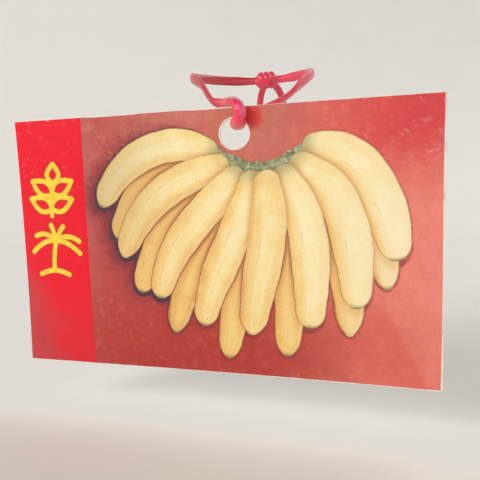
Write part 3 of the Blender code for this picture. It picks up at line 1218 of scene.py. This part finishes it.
@dataclass
class FruitHand:
    """A hand of bananas printed on the ground: a front row over a rear row, fanned from a crown.

    Arrives and light are each the value at a row's middle and what its right end adds. Splay is how far a
    banana's root leans out of the common way at a row's left end and at its right.
    """

    plan: CardPlan
    middle: Pair = (9.0, 14.4)
    rows: tuple[Row, ...] = (REAR, FRONT)
    crown_at: Pair = (10.9, 14.7)
    crown_half: float = 8.6
    crown_rise: float = 3.3
    wobble: float = 0.7
    leaves_deg: float = 270.0
    splay_deg: Pair = (120, 106)
    arrives_deg: Pair = (262, 13)
    light: Pair = (0.08, 0.25)
    flakes: int = 170
    lift: float = 0.6
    step: float = 0.0045
    seed: int = 12
    fingers: list[Finger] = field(default_factory=list)

    def __post_init__(self) -> None:
        """Lays out the bananas.

        The outer a banana, the more it leaves sideways and upwards, and the deeper it lies.
        """
        random = np.random.default_rng(self.seed)
        for row in self.rows:
            for at, layer in zip(np.linspace(-1, 1, len(row.layers)), row.layers):
                turn = math.radians(row.aim_deg + row.fan_deg * at)
                reach = row.reach + row.bulge * math.cos(0.45 * math.pi * (at - 0.2))
                wobble = random.uniform(-self.wobble, self.wobble, 2)
                spread = at * row.spread
                outward = math.copysign(abs(spread) ** 1.3, spread)
                finger = Finger(
                    row=row,
                    root=np.array(self.crown_place(spread)),
                    tip=np.array(self.middle) + reach * np.array([math.cos(turn), math.sin(turn)]) + wobble,
                    start_deg=self.leaves_deg + self.splay_deg[at > 0] * outward,
                    width=row.width + row.widens * at + random.uniform(-row.varies, row.varies),
                    layer=layer,
                    tone=random.uniform(0, 1),
                    end_deg=self.arrives_deg[0] + self.arrives_deg[1] * at + random.uniform(-2, 2),
                    light=self.light[0] + self.light[1] * at,
                    taper=random.uniform(*row.tapers) - row.blunter * (at < 0.1),
                )
                self.fingers.append(finger)

    def crown_place(self, at: Array | float) -> tuple[Array | float, Array | float]:
        """The shallow arc of the roots, from -1 at its left end to 1 at its right."""
        return self.crown_at[0] + self.crown_half * at, self.crown_at[1] + self.crown_rise * at**2

    def cast(self, x: Array, z: Array) -> Array:
        """The painted shadow round the hand: a thin line, a soft fringe at its left, and its narrow gaps.

        Each falls off with the distance from the nearest banana, and all of them fade out over the crown.

        Args:
            x: To the right of the card's middle.
            z: Above the card's middle.

        Returns:
            How dark the ground is at each place, from 0 to 1.
        """
        gaps = np.zeros(x.shape)
        nearest = np.full(x.shape, np.inf)
        for finger in self.fingers:
            close = np.clip(finger.away(x, z), 0, None)
            nearest = np.minimum(nearest, close)
            gaps += np.exp(-close / 1.3)
        leftness = smooth(4, -18, x)
        high = smooth(-22, 0, z)
        belt = high * smooth(25, 12, z)
        line = np.exp(-((nearest / 0.25) ** 2)) * (0.2 + 0.5 * leftness * (0.2 + 0.8 * belt))
        fringe = np.exp(-((nearest / (0.7 + 2.6 * leftness)) ** 1.3)) * (0.08 + 0.56 * leftness * high)
        fringe = fringe * (1 - 0.35 * smooth(10, 20, z))
        pinched = np.clip(gaps - 0.9, 0, 1) * smooth(1.6, 0.4, nearest) * (0.1 + 0.6 * leftness)
        at = (x - self.crown_at[0]) / self.crown_half
        bare = smooth(-0.4, 0.8, z - self.crown_place(at)[1]) * smooth(1.5, 1.15, np.abs(at))
        return np.clip(line + fringe + pinched, 0, 1) * (1 - 0.85 * bare)

    def painted(self, finger: Finger) -> Surface:
        """One banana with its values.

        Lit falls off as a power of the distance from the side that faces the light, and a long flat plane on
        the skin is lighter.
        Shade falls off with the distance from the bananas that lie over this one.

        Args:
            finger: The banana.

        Returns:
            The film, with values of lit, tone and shade.
        """
        line = finger.line()
        half = finger.half_widths(run_length(line))
        row = finger.row
        film = Film(self.plan, line, half, self.step * (finger.layer + row.lift), 35)
        surface = film.surface(tone=finger.tone)
        across, along = surface.values["across"], surface.values["along"]
        side = (across - finger.light) / (1 + abs(finger.light))
        planes = 0.14 * (smooth(-0.45, -0.2, across) - smooth(0.36, 0.56, across)) * smooth(0.08, 0.3, along)
        lit = 0.8 - 0.5 * np.abs(side) ** 2.4 + planes * smooth(1, 0.85, along)
        x, _, z = (surface.points - np.array(self.plan.origin)).T
        over = [other.away(x, z) for other in self.fingers if other.layer > finger.layer]
        close = np.clip(np.min(over, axis=0), 0, None) if over else np.full(len(x), np.inf)
        depth = row.shade_depth[0] + row.shade_depth[1] * smooth(0.9, 0.4, along)
        surface.values["lit"] = np.clip(lit, 0, 1)
        surface.values["shade"] = np.exp(-((close / row.shade_reach) ** 1.2)) * depth
        return surface

    def build(self) -> None:
        """Makes every banana and the crown."""
        for row in self.rows:
            ink = FruitInk(f"fruit_{row.name}", row.tones).material()
            fingers = [finger for finger in self.fingers if finger.row is row]
            for number, finger in enumerate(fingers, 1):
                name = f"banana_{row.name}_{number}"
                self.painted(finger).build(name, "label", "front_print", ink)
        self.crown().build("banana_crown", "label", "front_print", CrownInk().material())

    def crown(self) -> Surface:
        """The crown: a wavy strip of ink that peeps out over the front row, with fibrous flakes along it."""
        random = np.random.default_rng(self.seed + 1)
        top = self.step * (len(self.rows[0].layers) + 1)
        at = np.linspace(-1.08, 1.1, 90)
        arc = np.stack(self.crown_place(at), -1) + (0, self.lift)
        half = (0.95 + 0.12 * at) * (1 + 0.14 * ripple(at * 3, 5, (3, 5, 9, 14)))
        half = half * np.sqrt(np.clip(1 - (np.abs(at) / 1.105) ** 10, 0.002, 1))
        parts = [Film(self.plan, arc, half, top, 9).surface(tone=0.3)]
        bend = np.linspace(-0.5, 0.5, 7)[:, None]
        for k in range(self.flakes):
            at = random.uniform(-1.04, 1.08)
            x, z = self.crown_place(at)
            middle = np.array([x, z + self.lift]) + random.normal(0, 1, 2).clip(-1.4, 1.4) * (0.2, 0.46)
            lean = math.radians(42 * at + random.choice((0, 0, 90)) + random.normal(0, 20))
            long, wide = random.uniform(0.6, 1.7), random.uniform(0.16, 0.38)
            ahead = np.array([math.cos(lean), math.sin(lean)])
            aside = np.array([-ahead[1], ahead[0]])
            line = middle + bend * long * ahead + bend**2 * random.normal(0, 0.6) * aside
            line, half = rounded_ends(line, wide, 5)
            flake = Film(self.plan, line, half, top + self.step * 2 * (k + 1) / self.flakes, 5)
            parts.append(flake.surface(tone=random.uniform(0, 1)))
        return Surface.joined(parts)


@dataclass
class ColourBand:
    """The bright band down the card's left end."""

    plan: CardPlan
    thick: float = 0.008
    inset: float = 0.03

    def build(self) -> None:
        """Makes the film: a rectangle whose three outer sides follow the skin's worn margins."""
        plan, down = self.plan, np.linspace(0, 1, 130)[:, None]
        top, foot, left = (self.edge_place(axis, low) for axis, low in ((1, False), (1, True), (0, True)))
        across = np.linspace(0, 1, 48)[None, :]
        x = across * (plan.band_edge + plan.width / 2) - plan.width / 2
        z = np.interp(x, *top) * (1 - down) + np.interp(x, *foot) * down
        start = np.interp(z[:, :1], *left)
        x = start + across * (plan.band_edge - start)
        face = plan.placed(x, z, plan.front - self.thick)
        under = plan.placed(x, z, plan.front + Film.sunk)
        rings = np.concatenate([face, under[:, ::-1]], 1)
        Surface.tube(rings).build("colour_band", "label", "front_print", BandInk().material())

    def edge_place(self, axis: int, low: bool) -> tuple[Array, Array]:
        """One side of the card, set in by the skin's margin and the band's own.

        Args:
            axis: 0 for a side across the x axis, 1 for one across the z axis.
            low: Whether it is the side with the lower place on that axis.

        Returns:
            Places along the other axis in rising order, and the side's places on this one.
        """
        rim, outward = self.plan.rim()
        margin = self.plan.margin(rim, outward) + self.inset
        on = outward[:, axis] * (-1 if low else 1) > 0.999
        along, place = rim[on, 1 - axis], (rim - outward * margin[:, None])[on, axis]
        order = np.argsort(along)
        return along[order], place[order]


@dataclass
class PlantMarks:
    """Two plant pictograms in round-ended strokes: a leafy sprig, and a tall plant with arching fronds."""

    plan: CardPlan
    sprig_at: Pair = (-36.5, 11.7)
    palm_at: Pair = (-36.8, -0.6)
    half: float = 0.54
    rim: float = 0.17
    fronds = (
        (172, 6.2, 3.4), (138, 7.0, 3.6), (104, 4.6, 1.0), (66, 5.0, 1.4), (32, 7.0, 3.8), (2, 6.0, 3.0),
    )

    def build(self) -> None:
        """Makes the strokes and, just under them, their darker rims."""
        yellow = MarkInk("mark_yellow", linear(255, 222, 56), linear(250, 202, 42)).material()
        orange = MarkInk("mark_rim", linear(206, 84, 28), linear(190, 50, 30)).material()
        for name, strokes in (("sprig", self.sprig()), ("palm", self.palm())):
            for part, wider, top, ink in (("rim", self.rim, 0.013, orange), ("mark", 0.0, 0.02, yellow)):
                films = []
                for order, stroke in enumerate(strokes):
                    line, half = rounded_ends(evenly(stroke, 0.25), self.half + wider)
                    films.append(Film(self.plan, line, half, top + 0.0004 * order, 7).surface())
                Surface.joined(films).build(f"{name}_{part}", "label", "front_print", ink)

    @staticmethod
    def leaf(base: Array, turn_deg: float, long: float, wide: float) -> list[Array]:
        """A leaf's two sides: a sine bulge to each side of a line from its base to its tip.

        Args:
            base: Where it joins the stalk.
            turn_deg: Which way it points, anticlockwise from the right.
            long: Its length.
            wide: Its width.

        Returns:
            The two sides' strokes.
        """
        t = np.linspace(0, 1, 40)
        turn = math.radians(turn_deg)
        spin = np.array([[math.cos(turn), math.sin(turn)], [-math.sin(turn), math.cos(turn)]])
        bulge = wide / 2 * np.sin(math.pi * t**0.8)
        return [base + np.stack([t * long, side * bulge], -1) @ spin for side in (-1, 1)]

    def sprig(self) -> list[Array]:
        """A bent stalk with a leaf at its tip and two pairs of leaves."""
        middle = np.array(self.sprig_at)
        t = np.linspace(-1, 1, 60)
        stalk = np.stack([0.5 * np.sin(1.6 * t), 5.5 * t], -1)[:40]
        strokes = [middle + stalk, *self.leaf(middle + stalk[-1], 86, 4.1, 3.0)]
        for at, turn in ((8, 156), (9, 20), (26, 150), (27, 26)):
            strokes += self.leaf(middle + stalk[at], turn, 5.7, 3.1)
        return strokes

    def palm(self) -> list[Array]:
        """A leaning trunk on a low mound, with fronds that rise, spread and droop as parabolas."""
        middle = np.array(self.palm_at)
        t = np.linspace(0, 1, 30)[:, None]
        trunk = np.hstack([0.9 * t**2 - 0.5, -5.0 + 6.2 * t])
        mound = np.hstack([7.4 * (t - 0.5) - 0.4, 0.9 * np.sin(math.pi * t) - 6.4])
        strokes = [middle + trunk, middle + mound]
        for turn, long, droop in self.fronds:
            way = math.radians(turn)
            frond = np.hstack([long * math.cos(way) * t, long * math.sin(way) * t - droop * t**2])
            strokes.append(middle + trunk[-1] + frond)
        return strokes


# ------------------------------------------------------------------------------------------- the tie


@dataclass
class Tie:
    """The soft plastic tie: a loop from the knot, through the label's hole and back to the knot.

    Sizes across it are halves, in millimetres. Routes are given from the hole's middle. Settled is how far
    the loop is shifted to the right and upwards, and tints how deep its painted shade is and how worn it is,
    each by the distance past the hook's top. Its worn lighter pink is painted light at the foot.
    """

    hole: Place = (1.0, -17.5, -15.4)
    wide: float = 1.18
    thick: float = 0.84
    hugging: float = 0.08
    strand_wide: float = 1.1
    strand_thick: float = 0.62
    strand_deep: float = 0.25
    end_wide: float = 0.9
    end_thick: float = 0.8
    foot: float = 0.4
    foot_thick: float = 0.24
    swell: float = 0.42
    sheen_at: float = 0.6
    settled = (
        (-16.0, 0.0, 0.0), (-11.0, -0.3, 0.0), (-9.5, -0.25, 0.05), (-8.0, -0.1, 0.16), (-5.0, -0.1, 0.18),
        (-3.0, -0.2, -0.1), (-2.0, -0.14, -0.22), (-1.0, 0.06, -0.3), (0.0, 0.16, -0.1), (1.0, 0.38, 0.0),
        (2.0, 0.63, 0.0), (3.0, 0.71, -0.05), (4.0, 0.58, -0.06), (5.0, 0.48, -0.1), (6.5, 0.43, -0.05),
        (8.0, 0.11, 0.0), (13.0, 0.0, 0.0), (16.0, 0.0, -0.1), (20.0, 0.0, -0.4), (26.0, 0.0, 0.0),
    )
    # Deep is a painted shade; worn is lighter pink, wear and at the foot painted light.
    tints = (
        (-11.0, 0.95, 0.0), (-8.5, 0.6, 0.1), (-6.6, 0.15, 0.45), (-5.0, 0.1, 0.6), (-3.6, 0.5, 0.1),
        (-2.4, 0.45, 0.0), (-1.2, 0.1, 0.0), (2.4, 0.0, 0.0), (3.2, 0.05, 0.6), (4.6, 0.1, 0.9),
        (5.6, 0.2, 0.3), (8.0, 0.25, 0.0), (12.0, 0.25, 0.0),
    )
    swing_deg: float = 31.0
    axis_up: float = 4.1
    hole_edge: float = 2.93
    top_edge: float = 5.28
    columns: int = 56
    step: float = 0.16
    grooves: int = 5
    groove_depth: float = 0.075
    hook_at: Place = (1.3, -2.2, 5.0)
    press_from: float = 0.95
    press_full: float = 0.45
    knot_at: Place = (-1.0, 31.6, 15.4)
    knot_turns: float = 1.5
    knot_radius: float = 1.06
    knot_half: float = 0.98
    tail_from: Place = (-1.0, 32.4, 15.2)
    tail_half: float = 0.9
    route = (
        (-3.6, 31.6, 15.4), (-5.4, 31.4, 15.4), (-8.8, 29.5, 15.4), (-12.2, 25.9, 15.3), (-14.2, 21.2, 15.0),
        (-14.4, 16.0, 14.4), (-12.8, 11.4, 13.4), (-10.4, 8.1, 12.0), (-8.4, 6.1, 10.4), (-6.9, 4.8, 8.7),
        (-5.5, 3.8, 7.2), (-4.1, 3.1, 6.4), (-2.6, 2.4, 6.1), (-1.2, 1.4, 6.2), (-0.1, 0.1, 6.5),
        (0.8, -1.25, 6.2), (1.3, -2.15, 5.3), (1.4, -2.5, 4.1), (1.05, -2.2, 2.85), (0.5, -1.25, 1.95),
        (0.2, 0.0, 1.6), (0.1, 1.25, 1.9), (0.5, 2.2, 2.8), (1.5, 2.95, 3.7), (3.2, 3.5, 4.4),
        (5.3, 4.0, 5.2), (7.6, 5.1, 6.4), (9.6, 7.5, 8.3), (11.2, 11.2, 10.6), (12.2, 16.0, 12.7),
        (12.0, 21.2, 14.2), (10.2, 25.9, 15.1), (6.8, 29.5, 15.4), (3.4, 31.4, 15.4), (1.6, 31.6, 15.4),
    )
    long_tail = (
        (-2.3, 34.5, 14.6), (-3.4, 35.9, 13.2), (-4.1, 36.7, 11.0), (-4.3, 37.0, 8.4), (-4.0, 36.9, 5.6),
    )
    short_tail = ((0.3, 34.5, 14.6), (1.3, 35.8, 13.1), (1.9, 36.5, 11.1), (2.2, 36.6, 8.9))

    def line(self, route: Sequence[Sequence[float]]) -> Array:
        """A route in the shared frame, smoothed and evenly spaced."""
        return evenly(curve_through(np.array(route, float), 12), self.step) + np.array(self.hole)

    @property
    def around(self) -> Array:
        """The angle of each point of a ring, from its wide way."""
        return np.linspace(0, TURN, self.columns, endpoint=False)

    def folded(
        self, line: Array, wide: Array, thick: Array, seed: int, folds: Array | float = 1.0
    ) -> tuple[Array, Array]:
        """A soft tube's sections along a line.

        A section is an ellipse whose radius is cut by a few shallow grooves that wander round it along the
        line.

        Args:
            line: The tube's centreline.
            wide: Half its width at each ring.
            thick: Half its thickness at each ring.
            seed: Which of the possible sets of grooves.
            folds: How much of them is left, at each ring or everywhere.

        Returns:
            The sections, and how deep each point lies in a groove, from 0 to 1.
        """
        random = np.random.default_rng(seed)
        around, along = self.around, run_length(line)
        groove = np.zeros((len(line), self.columns))
        for k in range(self.grooves):
            swing = sum(random.uniform(0.1, 0.5) * np.sin(along / random.uniform(2, 9) + k) for _ in range(3))
            middle = TURN * k / self.grooves + random.uniform(-0.4, 0.4) + swing
            apart = np.angle(np.exp(1j * (around[None, :] - middle[:, None])))
            depth = 0.5 + 0.5 * np.sin(along / random.uniform(3, 8) + random.uniform(0, 6))
            groove += depth[:, None] * np.exp(-((apart / 0.16) ** 2))
        groove = np.clip(groove, 0, 1) * np.reshape(folds, (-1, 1))
        radius = 1 - self.groove_depth * groove
        ellipse = (wide[:, None] * np.cos(around), thick[:, None] * np.sin(around))
        return np.stack(ellipse, -1) * radius[..., None], groove

    def loop(self) -> tuple[Surface, Array]:
        """The loop.

        It is a flat tube. Its wide way lies along X where it hooks through the hole, square to the card on
        the stretches behind it, and upright round the stem. The hook is drawn in towards the axis that the
        card swings about, and the line is settled a little to the side and up or down. On the hook's outer
        side it puckers in short ripples, and its foot in the hole is spread.

        Returns:
            The surface, and its centreline from the knot to the knot.
        """
        line = self.line(self.route)
        along = run_length(line)
        hook = np.argmin(np.linalg.norm(line - (np.array(self.hole) + self.hook_at), axis=1))
        past = along - along[hook]
        on = smooth(8.0, 3.6, np.abs(past - 1.2))
        spread = smooth(2.6, 0.6, np.abs(past - 4.6))
        from_axis = line - (np.array(self.hole) + (0, 0, self.axis_up))
        line = line - self.hugging * on[:, None] * from_axis * (0, 1, 1)
        at, right, up = curve_through(np.array(self.settled), 8).T
        line[:, 0] += np.interp(past, at, right)
        line[:, 2] += np.interp(past, at, up)
        near_end = smooth(5.0, 1.5, np.minimum(along, along[-1] - along))
        wide, thick = self.half_sizes(past, on, spread, near_end)
        shape, groove = self.folded(line, wide, thick, 21, 1 - 0.8 * spread)
        shape = self.puckered(shape, on - spread, along)
        surface = Surface.tube(carried(line, self.wide_way(past), shape))
        surface.points = self.pressed(surface.points)
        return surface.with_rows(fold=1 - groove, **self.loop_tints(past)), line

    def half_sizes(self, past: Array, on: Array, spread: Array, near_end: Array) -> tuple[Array, Array]:
        """The loop's section: its strand's, changed over to the hook's, to the ends' and at the foot.

        Args:
            past: How far each ring is past the hook's top.
            on: How much each ring is part of the hook.
            spread: How much it is part of the foot.
            near_end: How much it is part of the loop's ends.

        Returns:
            Half the width and half the thickness at each ring.
        """
        wide = self.strand_wide + (self.wide - self.strand_wide) * on
        wide = wide + (self.end_wide - wide) * near_end + self.foot * spread
        thick = self.strand_thick + (self.thick - self.strand_thick) * on
        thick = thick + (self.end_thick - thick) * near_end + self.foot_thick * spread
        swollen = smooth(-10.6, -8.0, past) * smooth(-2.6, -5.0, past)
        return wide, thick + (self.strand_thick + self.swell - thick) * swollen

    def loop_tints(self, past: Array) -> dict[str, Array]:
        """The loop's values for its finish.

        Deep, a painted shade, and worn, lighter pink that is painted light at the foot, follow the table of
        tints.
        The sheen, a painted violet reflection, lies along the hook's right flank. The pale rim, a painted
        highlight, runs along its outer side and comes round to the right at its top.

        Args:
            past: How far each ring is past the hook's top.

        Returns:
            The values deep, sheen, worn and pale, each of shape (rings, columns).
        """
        at, deep, worn = curve_through(np.array(self.tints), 8).T
        plain = np.ones((1, self.columns))
        # flank: where the painted violet reflection lies, on the hook's right flank.
        flank = np.clip(np.cos(self.around - self.sheen_at), 0, 1) ** 3
        # The painted rim highlight runs along the outer side and comes round to the right at the top.
        rim_at = 1.85 - 1.75 * smooth(-3.0, 0.0, past)
        rim = smooth(0.5, 0.15, np.abs(self.around - rim_at[:, None]))
        return {
            "deep": np.interp(past, at, deep)[:, None] * plain,
            "sheen": 0.8 * flank * smooth(4.5, 2.0, np.abs(past + 1.0))[:, None],
            "worn": np.interp(past, at, worn)[:, None] * plain,
            "pale": rim * (smooth(-9, -7, past) * smooth(2.6, 0.6, past))[:, None],
        }

    @staticmethod
    def wide_way(past: Array) -> Array:
        """The tube's wide way: along X, then away from the card's face to each side, then upright.

        Args:
            past: How far each ring is past the hook's top.

        Returns:
            A direction for each ring, not of length one.
        """
        left, right = smooth(-3.0, -6.5, past), smooth(6.0, 9.0, past)
        left_up, right_up = smooth(-14, -20, past), smooth(20, 27, past)
        out, up = left * (1 - left_up) - right * (1 - right_up), right * right_up - left * left_up
        ways = np.array([[1.0, 0.0, 0.0], [-0.3, 1.0, 0.0], [0.0, 0.0, 1.0]])
        return np.stack((1 - left - right, out, up), -1) @ ways

    def puckered(self, shape: Array, on: Array, along: Array) -> Array:
        """The sections with short ripples on the hook's outer side."""
        outer = np.clip(np.sin(self.around), 0, 1) ** 2
        pucker = 0.045 * on[:, None] * np.sin(along * 7.5)[:, None] * outer
        return shape * (1 + pucker)[..., None]

    def pressed(self, points: Array) -> Array:
        """The soft plastic gives way to the card, at every angle that the card swings to.

        Near the card's thickness a point further from the hole's middle than its edge moves in to the edge,
        and a point below the card's top edge moves up over it. Both fade out to each side of the card.

        Args:
            points: Points in the shared frame.

        Returns:
            The same points, moved.
        """
        x, y, z = (points - np.array(self.hole)).T
        for turn in np.radians(np.linspace(-self.swing_deg, self.swing_deg, 13)):
            cos, sin = math.cos(turn), math.sin(turn)
            y, z = y * cos + (z - self.axis_up) * sin, (z - self.axis_up) * cos - y * sin + self.axis_up
            near = smooth(self.press_from, self.press_full, np.abs(y)) * (np.abs(x) < 4)
            away = np.hypot(x, z)
            inward = np.clip(away - self.hole_edge, 0, 0.6) * near * (z < self.axis_up) / away
            x, z = x * (1 - inward), z * (1 - inward)
            z = z + np.clip(self.top_edge - z, 0, 0.3) * near * (z > self.axis_up)
            y, z = y * cos - (z - self.axis_up) * sin, (z - self.axis_up) * cos + y * sin + self.axis_up
        return np.stack([x, y, z], -1) + np.array(self.hole)

    def strand(self, line: Array, half: Array, seed: int) -> Surface:
        """A short round strand of the same soft plastic.

        Args:
            line: Its centreline.
            half: Half its width at each ring.
            seed: Which of the possible sets of grooves.

        Returns:
            The surface, with the values that the finish reads.
        """
        shape, groove = self.folded(line, half * 1.04, half * 0.96, seed)
        side = np.broadcast_to(np.array([0.3, 0.2, 1.0]), line.shape)
        surface = Surface.tube(carried(line, side, shape))
        plain = np.zeros(groove.shape)
        deep = plain + self.strand_deep
        return surface.with_rows(deep=deep, fold=1 - groove, sheen=plain, worn=plain, pale=plain)

    def knot(self) -> Surface:
        """The knot: two strands laid round each other for a turn and a half, each leading out at both ends.

        A strand is a helix about the knot's axis along X. Its ends come in to the axis, where the loop
        begins.

        Returns:
            Both strands as one surface.
        """
        middle = np.array(self.hole) + self.knot_at
        t = np.linspace(0, 1, 150)
        strands = []
        for side in (0, 1):
            angle = TURN * self.knot_turns * t + math.pi * side + 0.6
            away = self.knot_radius * smooth(0, 0.16, t) * smooth(1, 0.84, t)
            x = np.interp(t, [0, 0.12, 0.88, 1], [-2.75, -1.5, 1.5, 2.75])
            line = middle + np.stack([x, away * np.cos(angle), away * np.sin(angle)], -1)
            half = self.knot_half - 0.14 * smooth(0.12, 0, t) - 0.14 * smooth(0.88, 1, t)
            strands.append(self.strand(line, half, 40 + side))
        return Surface.joined(strands)

    def tail(self, route: Sequence[Sequence[float]], seed: int) -> Surface:
        """A cut end, which starts inside the knot and ends square, a little pinched."""
        line = self.line([self.tail_from, *route])
        share = run_length(line) / run_length(line)[-1]
        half = self.tail_half - 0.1 * smooth(0.3, 0.9, share) + 0.08 * smooth(0.94, 1.0, share)
        return self.strand(line, half, seed)

    def build(self) -> None:
        vinyl = TieVinyl().material()
        surface, line = self.loop()
        loop = surface.build("tie_strand", "tie", "tie_plastic", vinyl, 60)
        knot = self.knot().build("tie_turns", "tie", "tie_plastic", vinyl, 60)
        longer = self.tail(self.long_tail, 51).build("tie_end_long", "tie", "tie_plastic", vinyl, 60)
        shorter = self.tail(self.short_tail, 52).build("tie_end_short", "tie", "tie_plastic", vinyl, 60)
        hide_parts("tie_loop")
        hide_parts("tie_knot")
        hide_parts("tie_tail_long")
        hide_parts("tie_tail_short")
        line[0] * MM
        line * MM


# ----------------------------------------------------------------------------------------- the studio


@dataclass
class Viewpoint:
    """The camera: its place in metres, the way it looks, its roll and its lens."""

    place: Place = (0.03217, -0.11872, -0.02397)
    aim: Place = (-0.2889, 0.9502, -0.1169)
    roll_deg: float = -1.71
    lens: float = 39.79

    def build(self) -> None:
        """Makes the camera and gives it to the scene."""
        ahead = Vector(self.aim).normalized()
        level = ahead.cross(Vector((0, 0, 1))).normalized()
        upright = level.cross(ahead)
        roll = math.radians(self.roll_deg)
        right = math.cos(roll) * level + math.sin(roll) * upright
        up = right.cross(ahead)
        data = bpy.data.cameras.new("camera")
        data.lens, data.sensor_width = self.lens, 36
        data.clip_start, data.clip_end = 0.001, 20
        camera = bpy.data.objects.new("camera", data)
        turn = Matrix((right, up, -ahead)).transposed()
        camera.matrix_world = Matrix.Translation(self.place) @ turn.to_4x4()
        bpy.context.scene.collection.objects.link(camera)
        bpy.context.scene.camera = camera


@dataclass(frozen=True)
class Panel:
    """A soft rectangular light."""

    name: str
    place: Place
    aim: Place
    size: Pair
    watts: float
    colour: Colour = (1, 1, 1)

    def build(self) -> None:
        """Makes the light, facing its aim."""
        data = bpy.data.lights.new(self.name, "AREA")
        data.shape = "RECTANGLE"
        data.size, data.size_y = self.size
        data.energy = self.watts
        data.color = self.colour
        light = bpy.data.objects.new(self.name, data)
        light.visible_camera = False
        way = Vector(self.aim) - Vector(self.place)
        turn = way.to_track_quat("-Z", "Y").to_matrix().to_4x4()
        light.matrix_world = Matrix.Translation(self.place) @ turn
        bpy.context.scene.collection.objects.link(light)


@dataclass
class Studio:
    """A pale round cove of paper, sized in millimetres, soft panels and an even surround."""

    floor: float = -76.0
    flat: float = 420.0
    bend: float = 560.0
    wall: float = 640.0
    sides: int = 96
    surround: float = 0.15
    sky: Colour = (0.94, 0.96, 1.0)
    panels: tuple[Panel, ...] = (
        Panel("key_light", (-1.23, -1.53, 1.0), (0, -0.015, -0.035), (0.76, 0.76), 23.5, (1, 0.985, 0.96)),
        Panel("front_light", (0.9, -2.1, 0.3), (0, -0.015, -0.035), (1.0, 1.0), 3.0, (1, 0.98, 0.97)),
        Panel("back_light", (0.85, 1.4, 1.4), (0, 0, -0.03), (1.4, 1.4), 14.0),
    )

    def cove(self) -> Surface:
        """The paper: a flat floor, a quarter turn and a wall, as one profile turned about the vertical."""
        turn = np.linspace(0, math.pi / 2, 24)
        reach, rise = self.flat + self.bend * np.sin(turn), self.bend * (1 - np.cos(turn))
        out = np.concatenate([[1.0, 0.5 * self.flat], reach, [self.flat + self.bend]])[:, None]
        up = np.concatenate([[0.0, 0.0], rise, [self.bend + self.wall]])[:, None] + self.floor
        around = np.linspace(0, TURN, self.sides, endpoint=False)[None, :]
        rings = np.broadcast_arrays(out * np.cos(around), out * np.sin(around), up)
        paper = Surface.tube(np.stack(rings, -1))
        paper.faces = paper.faces[: -self.sides]
        return paper

    def build(self) -> None:
        """Makes the cove, open at its top, the lights and the surround."""
        paper = self.cove().build("paper_cove", "", "", StudioPaper().material())
        paper.visible_shadow = False
        for panel in self.panels:
            panel.build()
        world = bpy.data.worlds.new("surround")
        world.use_nodes = True
        light = world.node_tree.nodes["Background"]
        light.inputs["Color"].default_value = (*self.sky, 1)
        light.inputs["Strength"].default_value = self.surround
        bpy.context.scene.world = world
        bpy.context.scene.view_settings.view_transform = "Standard"


def main() -> None:
    """Builds the camera, the tie, the card and its print, and the studio."""
    logging.basicConfig(level=logging.INFO, format="%(name)s: %(message)s")
    Viewpoint().build()
    Tie().build()
    plan = CardPlan()
    hand = FruitHand(plan)
    CardStock(plan).build(hand)
    ColourBand(plan).build()
    hand.build()
    PlantMarks(plan).build()
    Studio().build()


if __name__ == "__main__":
    main()
